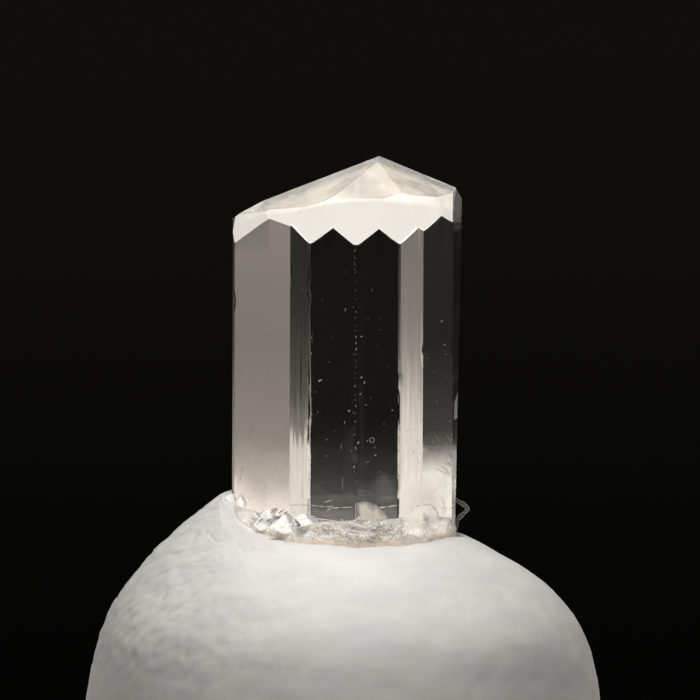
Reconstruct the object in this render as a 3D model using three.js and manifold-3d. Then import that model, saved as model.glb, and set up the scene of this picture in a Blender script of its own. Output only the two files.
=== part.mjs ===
// Phenakite crystal standing in a ball of white mounting putty.
// Millimetres, +Z up. The origin is the centre of the putty's flat underside.
// The viewer stands on the -Y side: azimuth 0 is that side, and +90 is the +X side.
import * as THREE from 'three';
import * as BufferGeometryUtils from 'three/addons/utils/BufferGeometryUtils.js';
import Module from 'manifold-3d';

const wasm = await Module();
wasm.setup();

// ---------------------------------------------------------------- driving dimensions
const SEAT_HEIGHT = 8.9;        // height of the crystal's seat above the putty's underside
const CRYSTAL_TOP = 9.8;        // how far the crystal's block reaches above the seat
const CRYSTAL_FOOT = -0.9;      // how deep its broken foot is pressed in below the seat
const CRYSTAL_X = 0.04;         // the crystal's axis at the seat, from the putty's centre
const CRYSTAL_LEAN = 0.2;       // degrees, towards +X
const CLEARANCE = 0.3;          // gap between the crystal and its socket

const PUTTY_RADIUS = 6.6;       // widest radius of the putty
const PUTTY_WAIST = 4.1;        // height of the widest part
const PUTTY_BASE_RADIUS = 4.6;  // radius of the flat underside
const PUTTY_RISE = 1.2;         // how much higher its shoulder is on one side
const PUTTY_RISE_SIDE = -115;   // azimuth of that side
const PUTTY_RISE_RADIUS = 2.9;  // the rise is full from this radius outwards

// Vertical faces of the crystal, in order round it: azimuth in degrees, distance from the axis.
// The m faces lie at 0, 60 and 120, the a faces at 30, 90 and 150, and the {21-30} faces between.
const PRISM_FACES = [
  [0, 2.875],
  [19.1, 2.821],
  [30, 2.848],
  [40.9, 2.788],
  [60, 2.693],
  [79.1, 2.796],
  [90, 2.96],
  [120, 3.546],
  [150, 3.465],
  [180, 2.875],
  [-150, 3.252],
  [-120, 3.395],
  [-90, 2.87],
  [-79.1, 2.69],
  [-60, 2.231],
  [-40.9, 2.466],
  [-30, 2.596],
  [-19.1, 2.65],
];

// Faces that close the top: azimuth, fall per millimetre outwards, height where each meets the axis.
// Six low faces rise to the apex. The steep ones cut the tooth over each vertical edge.
const TOP_FACES = [
  [-65.4, 0.456, 9.138],
  [60.4, 0.545, 9.895],
  [137.9, 0.515, 9.735],
  [-131.1, 0.481, 9.142],
  [0, 0.46, 9.62],
  [-71.6, 0.79, 9.83],
  [-11.5, 1.136, 11.194],
  [-66, 3.959, 16.738],
  [-56.2, 1.812, 11.984],
  [-29.9, 3.781, 17.228],
  [0.4, 2.255, 13.897],
  [30.6, 3.703, 17.947],
  [52.8, 3.005, 16.008],
  [66, 3.302, 16.939],
  [79.5, 8, 30.137],
];

// Chips that broke off round the foot: azimuth, steepness in degrees, and the distance and height
// of a point that each passes through. They face down and outwards.
const FOOT_CHIPS = [
  [-14, 42, 2.8, 0.53],
  [22, 47, 2.84, 0.5],
  [62, 50, 2.7, 0.3],
  [104, 46, 2.95, 0.2],
  [150, 44, 3.3, 0.16],
  [-172, 40, 2.88, 0.2],
  [-118, 47, 3.3, 0.42],
  [-63, 50, 2.3, 0.5],
];

// The side under +X tapers a little towards the foot.
const SIDE_TAPER = 1.05;        // degrees
const SIDE_TAPER_REACH = 2.98;  // its distance from the axis at the top

// ---------------------------------------------------------------- helpers
const toRad = THREE.MathUtils.degToRad;

function outward(azimuth) {
  return new THREE.Vector2(Math.sin(toRad(azimuth)), -Math.cos(toRad(azimuth)));
}

/** The closed solid of a geometry, with its shared vertices merged. */
function toSolid(geometry) {
  const bare = geometry.index ? geometry.toNonIndexed() : geometry.clone();
  bare.deleteAttribute('normal');
  bare.deleteAttribute('uv');
  const merged = BufferGeometryUtils.mergeVertices(bare, 1e-5);
  return new wasm.Manifold(new wasm.Mesh({
    numProp: 3,
    vertProperties: new Float32Array(merged.attributes.position.array),
    triVerts: new Uint32Array(merged.index.array),
  }));
}

function toGeometry(solid) {
  const mesh = solid.getMesh();
  const geometry = new THREE.BufferGeometry();
  geometry.setAttribute('position', new THREE.BufferAttribute(mesh.vertProperties, 3));
  geometry.setIndex(new THREE.BufferAttribute(mesh.triVerts, 1));
  geometry.computeVertexNormals();
  return geometry;
}

/** The outline in which neighbouring vertical faces meet, each moved out by a margin. */
function prismOutline(margin) {
  const corners = PRISM_FACES.map(([azimuth, distance], i) => {
    const [nextAzimuth, nextDistance] = PRISM_FACES[(i + 1) % PRISM_FACES.length];
    const a = outward(azimuth);
    const b = outward(nextAzimuth);
    const da = distance + margin;
    const db = nextDistance + margin;
    const cross = a.x * b.y - a.y * b.x;
    return new THREE.Vector2((da * b.y - db * a.y) / cross, (a.x * db - b.x * da) / cross);
  });
  return new THREE.Shape(corners);
}

/** A vertical prism on the crystal's outline. */
function prism(margin, bottom, top) {
  const geometry = new THREE.ExtrudeGeometry(prismOutline(margin), {
    depth: top - bottom,
    bevelEnabled: false,
  });
  geometry.translate(0, 0, bottom);
  return toSolid(geometry);
}

/** Cuts away what lies beyond a plane: it faces the azimuth, turned up by tilt, and holds the point. */
function cutBeyond(solid, azimuth, tilt, point) {
  const side = outward(azimuth);
  const normal = new THREE.Vector3(side.x * Math.cos(tilt), side.y * Math.cos(tilt), Math.sin(tilt));
  const inward = normal.clone().negate();
  return solid.trimByPlane(inward.toArray(), inward.dot(point));
}

// ---------------------------------------------------------------- crystal
/** Cuts the broken foot, each chip moved out by a margin. */
function chipFoot(solid, margin) {
  let chipped = solid;
  for (const [azimuth, steepness, distance, height] of FOOT_CHIPS) {
    const tilt = toRad(steepness - 90);
    const edge = outward(azimuth).multiplyScalar(distance + margin * Math.cos(tilt));
    const point = new THREE.Vector3(edge.x, edge.y, height + margin * Math.sin(tilt));
    chipped = cutBeyond(chipped, azimuth, tilt, point);
  }
  return chipped;
}

function makeCrystal() {
  let solid = chipFoot(prism(0, CRYSTAL_FOOT, CRYSTAL_TOP), 0);
  for (const [azimuth, fall, height] of TOP_FACES) {
    solid = cutBeyond(solid, azimuth, Math.PI / 2 - Math.atan(fall), new THREE.Vector3(0, 0, height));
  }
  const shoulder = new THREE.Vector3(SIDE_TAPER_REACH, 0, CRYSTAL_TOP);
  return cutBeyond(solid, 90, toRad(-SIDE_TAPER), shoulder);
}

// ---------------------------------------------------------------- putty
/** Half outline of the putty, from its underside to its top, as radius and height. */
function puttyProfile() {
  const side = new THREE.SplineCurve([
    new THREE.Vector2(PUTTY_BASE_RADIUS, 0),
    new THREE.Vector2(5.75, 0.75),
    new THREE.Vector2(6.4, 2.3),
    new THREE.Vector2(PUTTY_RADIUS, PUTTY_WAIST),
    new THREE.Vector2(6.38, 5.55),
    new THREE.Vector2(5.97, 6.6),
    new THREE.Vector2(5.15, 7.47),
    new THREE.Vector2(4.1, 8.21),
    new THREE.Vector2(PUTTY_RISE_RADIUS, 8.78),
    new THREE.Vector2(1.5, 8.85),
  ]).getPoints(30);
  return [new THREE.Vector2(0, 0), ...side, new THREE.Vector2(0, 8.85)];
}

function makePutty() {
  const geometry = new THREE.LatheGeometry(puttyProfile(), 72);
  geometry.rotateX(Math.PI / 2);
  const position = geometry.attributes.position;
  for (let i = 0; i < position.count; i += 1) {
    const x = position.getX(i);
    const y = position.getY(i);
    const z = position.getZ(i);
    const turned = Math.atan2(x, -y) - toRad(PUTTY_RISE_SIDE);
    const facing = Math.max(0, Math.cos(turned)) * Math.min(1, Math.hypot(x, y) / PUTTY_RISE_RADIUS);
    const upper = Math.max(0, (z - PUTTY_WAIST) / (SEAT_HEIGHT - PUTTY_WAIST));
    position.setZ(i, z + PUTTY_RISE * facing ** 4 * upper ** 1.8);
  }
  const socket = chipFoot(prism(CLEARANCE, CRYSTAL_FOOT - CLEARANCE, CRYSTAL_TOP), CLEARANCE)
    .rotate([0, CRYSTAL_LEAN, 0])
    .translate([CRYSTAL_X, 0, SEAT_HEIGHT]);
  return toSolid(geometry).subtract(socket);
}

// ---------------------------------------------------------------- object
const crystal = new THREE.Mesh(
  toGeometry(makeCrystal()),
  new THREE.MeshStandardMaterial({ color: 0xf2f2f0, roughness: 0.02, metalness: 0, transparent: true, opacity: 0.35 }),
);
crystal.name = 'phenakite_crystal';
crystal.position.set(CRYSTAL_X, 0, SEAT_HEIGHT);
crystal.rotation.y = toRad(CRYSTAL_LEAN);

const putty = new THREE.Mesh(
  toGeometry(makePutty()),
  new THREE.MeshStandardMaterial({ color: 0xeceae6, roughness: 0.6, metalness: 0 }),
);
putty.name = 'putty_mount';

const part = new THREE.Group();
part.name = 'phenakite_on_putty';
part.add(crystal, putty);

export default part;
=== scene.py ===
"""Phenakite crystal standing in a ball of white mounting putty: its surfaces, lights and camera.

Metres, +Z up. The viewer stands on the -Y side, and +X is to the viewer's right.
Picture columns u and rows v are in a frame of 700 by 700.
"""
import math
import random

import bmesh
import bpy
from mathutils import Matrix, Vector, noise
from mathutils.bvhtree import BVHTree
from mathutils.kdtree import KDTree


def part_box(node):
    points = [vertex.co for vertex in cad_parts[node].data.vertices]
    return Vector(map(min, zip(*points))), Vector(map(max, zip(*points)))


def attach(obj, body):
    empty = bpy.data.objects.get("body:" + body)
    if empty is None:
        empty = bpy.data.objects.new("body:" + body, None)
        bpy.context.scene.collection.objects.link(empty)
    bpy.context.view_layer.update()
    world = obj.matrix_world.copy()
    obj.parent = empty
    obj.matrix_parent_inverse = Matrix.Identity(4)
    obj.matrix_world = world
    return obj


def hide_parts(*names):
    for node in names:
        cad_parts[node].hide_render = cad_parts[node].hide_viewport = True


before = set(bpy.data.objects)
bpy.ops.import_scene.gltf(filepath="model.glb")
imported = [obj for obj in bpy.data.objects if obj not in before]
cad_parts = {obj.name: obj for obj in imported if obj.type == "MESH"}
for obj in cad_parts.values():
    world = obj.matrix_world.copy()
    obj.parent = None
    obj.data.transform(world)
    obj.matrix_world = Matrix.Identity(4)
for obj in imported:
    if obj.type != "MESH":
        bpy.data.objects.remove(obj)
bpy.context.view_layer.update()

MM = 0.001
UP = Vector((0.0, 0.0, 1.0))
TURN = 2 * math.pi
CRYSTAL = "phenakite_crystal"
PUTTY = "putty_mount"
REFRACTIVE_INDEX = 1.66

# ---------- camera and picture frame
FRAME_WIDTH = 17.5 * MM  # what the picture's width shows at the crystal
FRAME_PIXELS = 700
PIXEL = FRAME_WIDTH / FRAME_PIXELS
SENSOR = 36.0
CAMERA_DISTANCE = 200 * MM
CAMERA_ELEVATION = math.radians(4.5)
VIEW = Vector((0.0, math.cos(CAMERA_ELEVATION), -math.sin(CAMERA_ELEVATION)))
SEAT = Vector((0.0, 0.0, 8.9 * MM))  # where the crystal stands in the putty
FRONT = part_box(CRYSTAL)[0].y  # the crystal's nearest face
PUTTY_U = 343.0  # picture column of the putty's middle
SEAT_V = 540.0  # picture row of the seat, at the nearest face


def picture_point(u, v, depth=FRONT):
    """The point at picture column u and row v that lies at the distance depth along +Y."""
    rise = (SEAT_V - v) * PIXEL
    back = depth - FRONT
    z = (rise - back * math.sin(CAMERA_ELEVATION)) / math.cos(CAMERA_ELEVATION)
    return Vector(((u - PUTTY_U) * PIXEL, depth, SEAT.z + z))


EYE = picture_point(FRAME_PIXELS / 2, FRAME_PIXELS / 2) - VIEW * CAMERA_DISTANCE


def sight(u, v):
    """The direction from the eye to a place of the picture."""
    return (picture_point(u, v) - EYE).normalized()


def place(name, data):
    """Puts a new object into the scene."""
    obj = bpy.data.objects.new(name, data)
    bpy.context.scene.collection.objects.link(obj)
    return obj


def make_camera():
    lens = bpy.data.cameras.new("camera")
    lens.sensor_width = SENSOR
    lens.lens = SENSOR * CAMERA_DISTANCE / FRAME_WIDTH
    lens.clip_start = 0.01
    lens.clip_end = 5.0
    camera = place("camera", lens)
    camera.location = EYE
    camera.rotation_euler = (math.pi / 2 - CAMERA_ELEVATION, 0.0, 0.0)
    bpy.context.scene.camera = camera


# ---------- helpers
class Nodes:
    """Short calls for building a node tree."""

    def __init__(self, tree):
        self.tree = tree

    def set(self, node, inputs):
        """Gives a node its inputs: outputs of other nodes, values, or colours of three parts."""
        for key, value in inputs.items():
            socket = node.inputs[key]
            if isinstance(value, bpy.types.NodeSocket):
                self.tree.links.new(value, socket)
            elif socket.type == "RGBA":
                socket.default_value = (*value, 1.0)
            else:
                socket.default_value = value

    def add(self, kind, inputs=None, output=0, **settings):
        node = self.tree.nodes.new(kind)
        for name, value in settings.items():
            setattr(node, name, value)
        self.set(node, inputs or {})
        return node.outputs[output] if node.outputs else node

    def math(self, operation, a, b=0.0):
        return self.add("ShaderNodeMath", {0: a, 1: b}, operation=operation)

    def times(self, a, b):
        return self.math("MULTIPLY", a, b)

    def level(self, value, low, high, to_low=0.0, to_high=1.0, kind="LINEAR"):
        """A value taken from one span to another, and held at its ends."""
        spans = {"From Min": low, "From Max": high, "To Min": to_low, "To Max": to_high}
        return self.add("ShaderNodeMapRange", {"Value": value, **spans}, interpolation_type=kind)

    def smooth(self, *terms):
        return self.level(*terms, kind="SMOOTHSTEP")

    def ramp(self, value, stops):
        """Grey levels between given stops, as a strength."""
        shade = self.add("ShaderNodeValToRGB", {0: value}).node
        elements = shade.color_ramp.elements
        for element, (position, strength) in zip(list(elements), (stops[0], stops[-1])):
            element.position = position
            element.color = (strength, strength, strength, 1.0)
        for position, strength in stops[1:-1]:
            elements.new(position).color = (strength, strength, strength, 1.0)
        return shade.outputs[0]

    def spot(self):
        """Where a point lies in its object."""
        return self.add("ShaderNodeTexCoord", output="Object")

    def attribute(self, name):
        return self.add("ShaderNodeAttribute", output="Fac", attribute_name=name)

    def noise(self, spot, scale, detail=3.0, stretch=(1.0, 1.0, 1.0)):
        """Noise from 0 to 1 whose bumps are about one scale wide, in metres."""
        size = [part / scale for part in stretch]
        spread = self.add("ShaderNodeMapping", {"Vector": spot, "Scale": size})
        return self.add("ShaderNodeTexNoise", {"Vector": spread, "Scale": 1.0, "Detail": detail})

    def bump(self, height, strength, distance):
        return self.add("ShaderNodeBump", {"Height": height, "Strength": strength, "Distance": distance})

    def mix(self, factor, a, b):
        return self.add("ShaderNodeMix", {0: factor, 6: a, 7: b}, output=2, data_type="RGBA")


def blank_nodes(owner):
    owner.use_nodes = True
    owner.node_tree.nodes.clear()
    return Nodes(owner.node_tree)


def new_material(name, inputs):
    """A material with its nodes and its shader."""
    material = bpy.data.materials.new(name)
    material.use_nodes = True
    n = Nodes(material.node_tree)
    shader = material.node_tree.nodes["Principled BSDF"]
    n.set(shader, inputs)
    return material, n, shader


def soaking(weight, radius, scale):
    """What a shader is given for light to soak through."""
    return {"Subsurface Weight": weight, "Subsurface Radius": radius, "Subsurface Scale": scale * MM}


def carried_light(colour, strength):
    """What a shader is given for a weak glow, which is painted light: it stands for light that the
    crystal leads into its cracked foot and tip."""
    return {"Emission Color": colour, "Emission Strength": strength}


def new_mesh(name, verts, faces, **values):
    """A mesh that keeps some values of its points under their names."""
    mesh = bpy.data.meshes.new(name)
    mesh.from_pydata(verts, [], faces)
    for key, value in values.items():
        mesh.attributes.new(key, "FLOAT", "POINT").data.foreach_set("value", value)
    return mesh


def new_piece(name, mesh, material):
    """A piece of the object, which doesn't move."""
    mesh.materials.append(material)
    piece = place(name, mesh)
    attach(piece, "root")
    return piece


def smoothstep(low, high, value):
    t = min(1.0, max(0.0, (value - low) / (high - low)))
    return t * t * (3 - 2 * t)


# ---------- stage and light
FLOOR_RADIUS = 21 * MM
FLOOR_CORNERS = 160
FLOOR_COLOUR = (0.78, 0.775, 0.77)

# The world's light. A direction has the part y away from the viewer and the part z up.
LIGHT_COLOUR = (1.0, 0.945, 0.87)
SKY = 1.06  # behind, well above the horizon
SKY_REST = 0.1  # elsewhere above the horizon
SKY_ABOVE = 0.35  # elsewhere, higher up
BEHIND = (0.48, 0.62)  # parts y between which the sky behind sets in
SKY_START = (0.08, 0.28)  # parts z between which the sky sets in
SKY_HIGHER = (0.55, 0.68)  # parts z between which SKY_REST goes to SKY_ABOVE
HIGH_LIGHT = 1.5  # a brighter patch high up behind
HIGH_DIRECTION = (0.0, 0.59, 0.81)
HIGH_EDGE = (0.972, 0.988)  # cosines of the angle from it at the patch's edge
FAR_FLOOR_LIGHT = 0.95  # a pale floor that runs on past the modelled one
FAR_FLOOR_END = (-0.22, -0.14)  # parts z between which it ends
FAR_FLOOR_BEHIND = (0.1, 0.3)  # parts y between which its full light sets in
FAR_FLOOR_FRONT = (-0.46, -0.4)  # parts z between which it dims on the near side
FAR_FLOOR_DIM = 0.12  # how much of its light is left there
DARK = 0.0048  # the black backdrop
DARK_LOW = 0.3  # how much of that is left lower down
DARK_FADE = (-0.13, -0.04)  # parts z between which it fades

LAMP_ELEVATION = 61.0  # a soft lamp near the crystal, above and in front
LAMP_AZIMUTH = -2.0
LAMP_DISTANCE = 11.3 * MM
LAMP_RADIUS = 2.5 * MM
LAMP_POWER = 0.00107
LAMP_COLOUR = (1.0, 0.96, 0.895)

# Glowing cards round the crystal, seen only through it. Each has its direction in degrees from
# straight behind (+ is right), its half width, the degrees over which its sides fade, its tint,
# how many rows lower its light sits per degree, and its strength at rows of the picture.
CARD_DISTANCE = 60 * MM
CARD_ROWS = (240.0, 540.0)
CARD_FOOT_ROW = 526.0
CARD_RISE = 2 * MM  # how far it reaches above its first row
CARD_STEPS = 10
SLANT_REACH = 0.6  # degrees each way over which a card's light slants
CARDS = [
    (50.2, 4.2, 1, (1, 0.87, 0.78), 0,
     {250: 0.29, 300: 0.256, 355: 0.246, 400: 0.275, 430: 0.3, 445: 0.31, 460: 0.36, 475: 0.45, 490: 0.62,
      505: 0.92, 520: 1.1}),
    (29.1, 2.8, 0.8, (1, 0.925, 0.8), -12,
     {250: 0.022, 325: 0.036, 370: 0.07, 400: 0.1, 415: 0.17, 430: 0.22, 438: 0.36, 446: 0.66, 470: 0.78,
      505: 0.86}),
    (39.2, 5, 0.3, (1, 0.925, 0.8), 0,
     {250: 0.03, 400: 0.1, 430: 0.22, 446: 0.6, 470: 0.74, 505: 0.8}),
    (25.7, 0.6, 0.15, (1, 0.92, 0.8), 0,
     {250: 0.02, 300: 0.035, 360: 0.09, 400: 0.22, 430: 0.4, 445: 0.7, 470: 0.78, 505: 0.72}),
    (23.8, 1.15, 0.15, (1, 0.95, 0.87), 0,
     {250: 0.01, 400: 0.02, 442: 0.05, 452: 0.12, 458: 0.7, 475: 1, 490: 0.85, 505: 0.5}),
    (20.9, 1.65, 0.15, (1, 0.92, 0.8), 0,
     {250: 0.02, 300: 0.035, 360: 0.1, 400: 0.25, 430: 0.45, 445: 0.72, 470: 0.8, 505: 0.72}),
    (-22.7, 2.8, 0.2, (1, 0.91, 0.8), 0,
     {250: 0.08, 300: 0.1, 360: 0.2, 400: 0.42, 430: 0.56, 460: 0.7, 505: 0.76}),
    (-19.6, 0.4, 0.2, (1, 0.91, 0.8), 0,
     {250: 0.03, 300: 0.05, 360: 0.13, 400: 0.33, 430: 0.5, 460: 0.65, 505: 0.72}),
    (0, 16.5, 1.5, (1, 0.95, 0.87), 0,
     {250: 0.004, 415: 0.006, 430: 0.008, 445: 0.014, 460: 0.026, 475: 0.036, 490: 0.06, 505: 0.08,
      520: 0.14}),
    (-28.7, 3, 1, (1, 0.905, 0.81), -31,
     {250: 0.205, 310: 0.245, 340: 0.295, 355: 0.36, 370: 0.45, 385: 0.54, 400: 0.64, 415: 0.73,
      430: 0.78, 460: 0.83, 475: 0.96, 500: 0.92}),
    (-39.2, 6.8, 0.3, (1, 0.935, 0.83), 0,
     {250: 0.02, 340: 0.02, 430: 0.06, 452: 0.27, 462: 0.62, 474: 0.92, 505: 0.92}),
    (-50.2, 3.6, 1, (1, 0.935, 0.83), 0,
     {250: 0.02, 340: 0.018, 385: 0.034, 430: 0.058, 445: 0.115, 452: 0.27, 462: 0.62, 474: 1.02,
      505: 1.12}),
]


def make_floor():
    bpy.ops.mesh.primitive_circle_add(vertices=FLOOR_CORNERS, radius=FLOOR_RADIUS, fill_type="NGON")
    floor = bpy.context.object
    floor.name = "floor"
    material = new_material("floor", {"Base Color": FLOOR_COLOUR, "Roughness": 0.8})[0]
    floor.data.materials.append(material)


def card_height(row):
    """The height at which a row of the picture lies on the cards, seen through the crystal."""
    front = picture_point(FRAME_PIXELS / 2, row)
    way = front - EYE
    slope = way.z / way.y
    through = 2 * abs(FRONT)
    return front.z + slope * (through / REFRACTIVE_INDEX + CARD_DISTANCE - through / 2)


def card_material(name, middle, half, edge, tint, slant, stops):
    material = bpy.data.materials.new(name)
    n = blank_nodes(material)
    spot = n.add("ShaderNodeNewGeometry", output="Position")
    x, y, z = n.add("ShaderNodeSeparateXYZ", {0: spot}).node.outputs
    turn = n.times(n.math("ARCTAN2", x, y), math.degrees(1.0))
    off = n.math("ABSOLUTE", n.math("SUBTRACT", turn, middle))
    fade = n.smooth(off, half - edge, half + edge, 1.0, 0.0)
    shift = slant * SLANT_REACH
    lean = n.level(turn, middle - SLANT_REACH, middle + SLANT_REACH, -shift, shift)
    first, last = CARD_ROWS
    row = n.math("ADD", n.level(z, card_height(first), card_height(last), first, last), lean)
    parts = [((stop - first) / (last - first), strength) for stop, strength in stops.items()]
    light = n.ramp(n.level(row, first, last), parts)
    glow = n.add("ShaderNodeEmission", {"Color": tint, "Strength": n.times(light, fade)})
    clear = n.add("ShaderNodeBsdfTransparent")
    surface = n.add("ShaderNodeAddShader", {0: glow, 1: clear})
    n.add("ShaderNodeOutputMaterial", {"Surface": surface})
    return material


def make_card(index, middle, half, edge, *look):
    """An upright glowing card, curved round the crystal. The camera doesn't see it."""
    name = f"card_{index}"
    reach = half + edge
    verts = []
    for i in range(CARD_STEPS + 1):
        turn = math.radians(middle - reach + 2 * reach * i / CARD_STEPS)
        for height in (card_height(CARD_FOOT_ROW), card_height(CARD_ROWS[0]) + CARD_RISE):
            verts.append(Vector((math.sin(turn) * CARD_DISTANCE, math.cos(turn) * CARD_DISTANCE, height)))
    faces = [(2 * i, 2 * i + 1, 2 * i + 3, 2 * i + 2) for i in range(CARD_STEPS)]
    card = place(name, new_mesh(name, verts, faces))
    card.data.materials.append(card_material(name, middle, half, edge, *look))
    card.visible_camera = False


def make_world():
    """Black at the horizon, a wide soft light overhead and behind, and a pale floor running on below."""
    world = bpy.data.worlds.new("studio")
    bpy.context.scene.world = world
    n = blank_nodes(world)
    way = n.add("ShaderNodeTexCoord", output="Generated")
    _, y, z = n.add("ShaderNodeSeparateXYZ", {0: way}).node.outputs
    behind = n.smooth(y, *BEHIND)
    rest = n.smooth(z, *SKY_HIGHER, SKY_REST, SKY_ABOVE)
    elsewhere = n.times(n.math("SUBTRACT", 1.0, behind), rest)
    sky = n.times(n.smooth(z, *SKY_START), n.math("ADD", n.times(behind, SKY), elsewhere))
    toward_high = n.add("ShaderNodeVectorMath", {0: way, 1: HIGH_DIRECTION}, 1, operation="DOT_PRODUCT")
    above = n.math("ADD", sky, n.smooth(toward_high, *HIGH_EDGE, 0.0, HIGH_LIGHT))
    floor = n.smooth(z, *FAR_FLOOR_END, 1.0, 0.0)
    in_front = n.smooth(z, *FAR_FLOOR_FRONT, 1.0, FAR_FLOOR_DIM)
    lit = n.math("MAXIMUM", n.smooth(y, *FAR_FLOOR_BEHIND), in_front)
    below = n.times(n.times(floor, lit), FAR_FLOOR_LIGHT)
    dark = n.smooth(z, *DARK_FADE, DARK * DARK_LOW, DARK)
    light = n.math("ADD", n.math("ADD", above, below), dark)
    glow = n.add("ShaderNodeBackground", {"Color": LIGHT_COLOUR, "Strength": light})
    n.add("ShaderNodeOutputWorld", {"Surface": glow})
    bpy.context.scene.view_settings.view_transform = "Standard"


def make_lamp():
    """A soft lamp that lights the object and isn't seen in it or through it."""
    light = bpy.data.lights.new("lamp", "AREA")
    light.shape = "DISK"
    light.size = 2 * LAMP_RADIUS
    light.energy = LAMP_POWER
    light.color = LAMP_COLOUR
    lamp = place("lamp", light)
    rise, turn = math.radians(LAMP_ELEVATION), math.radians(LAMP_AZIMUTH)
    way = Vector((math.sin(turn) * math.cos(rise), -math.cos(turn) * math.cos(rise), math.sin(rise)))
    lamp.location = Vector((0.0, FRONT, SEAT.z)) + way * LAMP_DISTANCE
    lamp.rotation_euler = way.to_track_quat("Z", "Y").to_euler()
    lamp.visible_camera = False
    lamp.visible_glossy = False
    lamp.visible_transmission = False


# ---------- materials
def clear_material(name, inputs):
    """Phenakite that light passes."""
    plain = {"IOR": REFRACTIVE_INDEX, "Transmission Weight": 1.0}
    return new_material(name, {**plain, **inputs})


def crystal_material():
    """Clear phenakite, its faces very faintly grained along the crystal."""
    material, n, shader = clear_material("phenakite", {"Base Color": (1.0, 1.0, 1.0)})
    grain = n.noise(n.spot(), 0.05 * MM, 2.0, (1.0, 1.0, 0.04))
    rough = n.times(n.attribute("broken"), 0.3)
    n.set(shader, {"Roughness": rough, "Normal": n.bump(grain, 0.05, 0.01 * MM)})
    return material


def putty_material():
    """White mounting putty: blotchy, smeared sideways, and stained where it meets the crystal."""
    material, n, shader = new_material("putty", soaking(0.25, (1.0, 0.85, 0.7), 0.35))
    spot = n.spot()
    smear = n.smooth(n.noise(spot, 2.2 * MM, 5.0, (1.0, 1.0, 3.2)), 0.38, 0.66)
    blotch = n.smooth(n.noise(spot, 0.9 * MM, 4.0, (1.0, 1.0, 2.0)), 0.42, 0.68)
    white = n.mix(smear, (0.90, 0.915, 0.92), (0.81, 0.83, 0.86))
    mottled = n.mix(n.times(blotch, 0.5), white, (0.82, 0.82, 0.81))
    rim = n.times(n.attribute("rim"), n.smooth(n.noise(spot, 0.25 * MM, 4.0), 0.3, 0.6))
    grain = n.times(n.noise(spot, 0.12 * MM, 4.0), 0.7)
    pores = n.times(n.noise(spot, 0.03 * MM), 0.3)
    n.set(shader, {
        "Base Color": n.mix(rim, mottled, (0.66, 0.5, 0.38)),
        "Roughness": n.smooth(smear, 0.0, 1.0, 0.5, 0.66),
        "Specular IOR Level": 0.35,
        "Normal": n.bump(n.math("ADD", grain, pores), 0.35, 0.02 * MM),
    })
    return material


def speck_material(name, colour, cover, inputs=None):
    """Fine pale matter; the less it covers, the more shows through it."""
    material, n, shader = new_material(name, {"Roughness": 0.4, "Alpha": cover, **(inputs or {})})
    dull = [part * 0.7 for part in colour]
    n.set(shader, {"Base Color": n.mix(n.noise(n.spot(), 0.03 * MM), dull, colour)})
    return material


def mirror_material(name, shade, roughness):
    """A sliver of gas or an open crack, which throws light back like a mirror."""
    return new_material(name, {"Base Color": shade, "Metallic": 1.0, "Roughness": roughness})


# ---------- crystal
PRISM, TOP, FOOT, EDGE = range(4)  # kinds of face, kept as material indices while building
UPRIGHT = 0.06  # how far a prism face's normal may rise or fall
SIDE_SPAN = 2  # degrees from an azimuth within which a prism face belongs to it
EDGE_WIDTH = 0.012 * MM
EDGE_ANGLE = math.radians(4)  # between the faces at an edge that gets a bevel
ROW_STEP = (0.09 * MM, 0.34 * MM)  # heights between the cuts across the prism
ROWS = (1.0 * MM, 7.1 * MM)  # above the seat
TOP_SIDE = 0.16 * MM  # longest side of a triangle in the tip's faces
FOOT_SIDE = 0.055 * MM  # and in the broken foot
REFINE_ROUNDS = 12
HILLOCK_HEIGHT = 0.003  # on the tip's faces, in mm
BRUISE_DEPTH = 0.011  # on the upright edges, in mm

# Growth lines on the upright faces: azimuth, spacing and depth of the lines in millimetres.
GROWTH_LINES = [
    (-79, 0.2, 0.0015), (-60, 0.11, 0.0006), (-41, 0.036, 0.0022), (-30, 0.05, 0.0014),
    (-19, 0.21, 0.0003), (19, 0.21, 0.0003), (41, 0.06, 0.0008), (60, 0.13, 0.0006), (150, 0.16, 0.0006),
    (180, 0.5, 0.0004), (-150, 0.16, 0.0006),
]
GROWTH_RUN = 2.6 * MM  # height over which a growth line's depth drifts

# The broken foot: ripples round centres in mm from the seat, and splintered facets.
RIPPLE_CENTRES = [(-2.2, -1.9, 0.9), (1.9, -2.2, 0.7), (0.2, 2.6, 0.6)]
RIPPLE_WIDTH = 0.16
RIPPLE_HEIGHT = 0.012
FACETS_PER_MM = 2.6
FACET_SLOPE = 0.42


def crystal_faces():
    """The crystal as the CAD has it, with each flat face one polygon, sorted into kinds."""
    shell = bmesh.new()
    shell.from_mesh(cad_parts[CRYSTAL].data)
    bmesh.ops.remove_doubles(shell, verts=shell.verts, dist=1e-6)
    flat = math.radians(0.4)
    bmesh.ops.dissolve_limit(shell, angle_limit=flat, verts=shell.verts, edges=shell.edges)
    for face in shell.faces:
        up = face.normal.z
        face.material_index = PRISM if abs(up) < UPRIGHT else TOP if up > 0 else FOOT
    return shell


def faces_of(shell, kind):
    return [face for face in shell.faces if face.material_index == kind]


def side_faces(shell, azimuth):
    """The prism faces that look towards an azimuth, in degrees to the right of the viewer."""
    def off(face):
        return abs(math.degrees(math.atan2(face.normal.x, -face.normal.y)) - azimuth)

    return [face for face in faces_of(shell, PRISM) if off(face) < SIDE_SPAN]


def cut(shell, faces, point, normal):
    edges = dict.fromkeys(edge for face in faces for edge in face.edges)
    verts = dict.fromkeys(vert for face in faces for vert in face.verts)
    geometry = [*verts, *edges, *faces]
    bmesh.ops.bisect_plane(shell, geom=geometry, dist=1e-7, plane_co=point, plane_no=normal)


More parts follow.
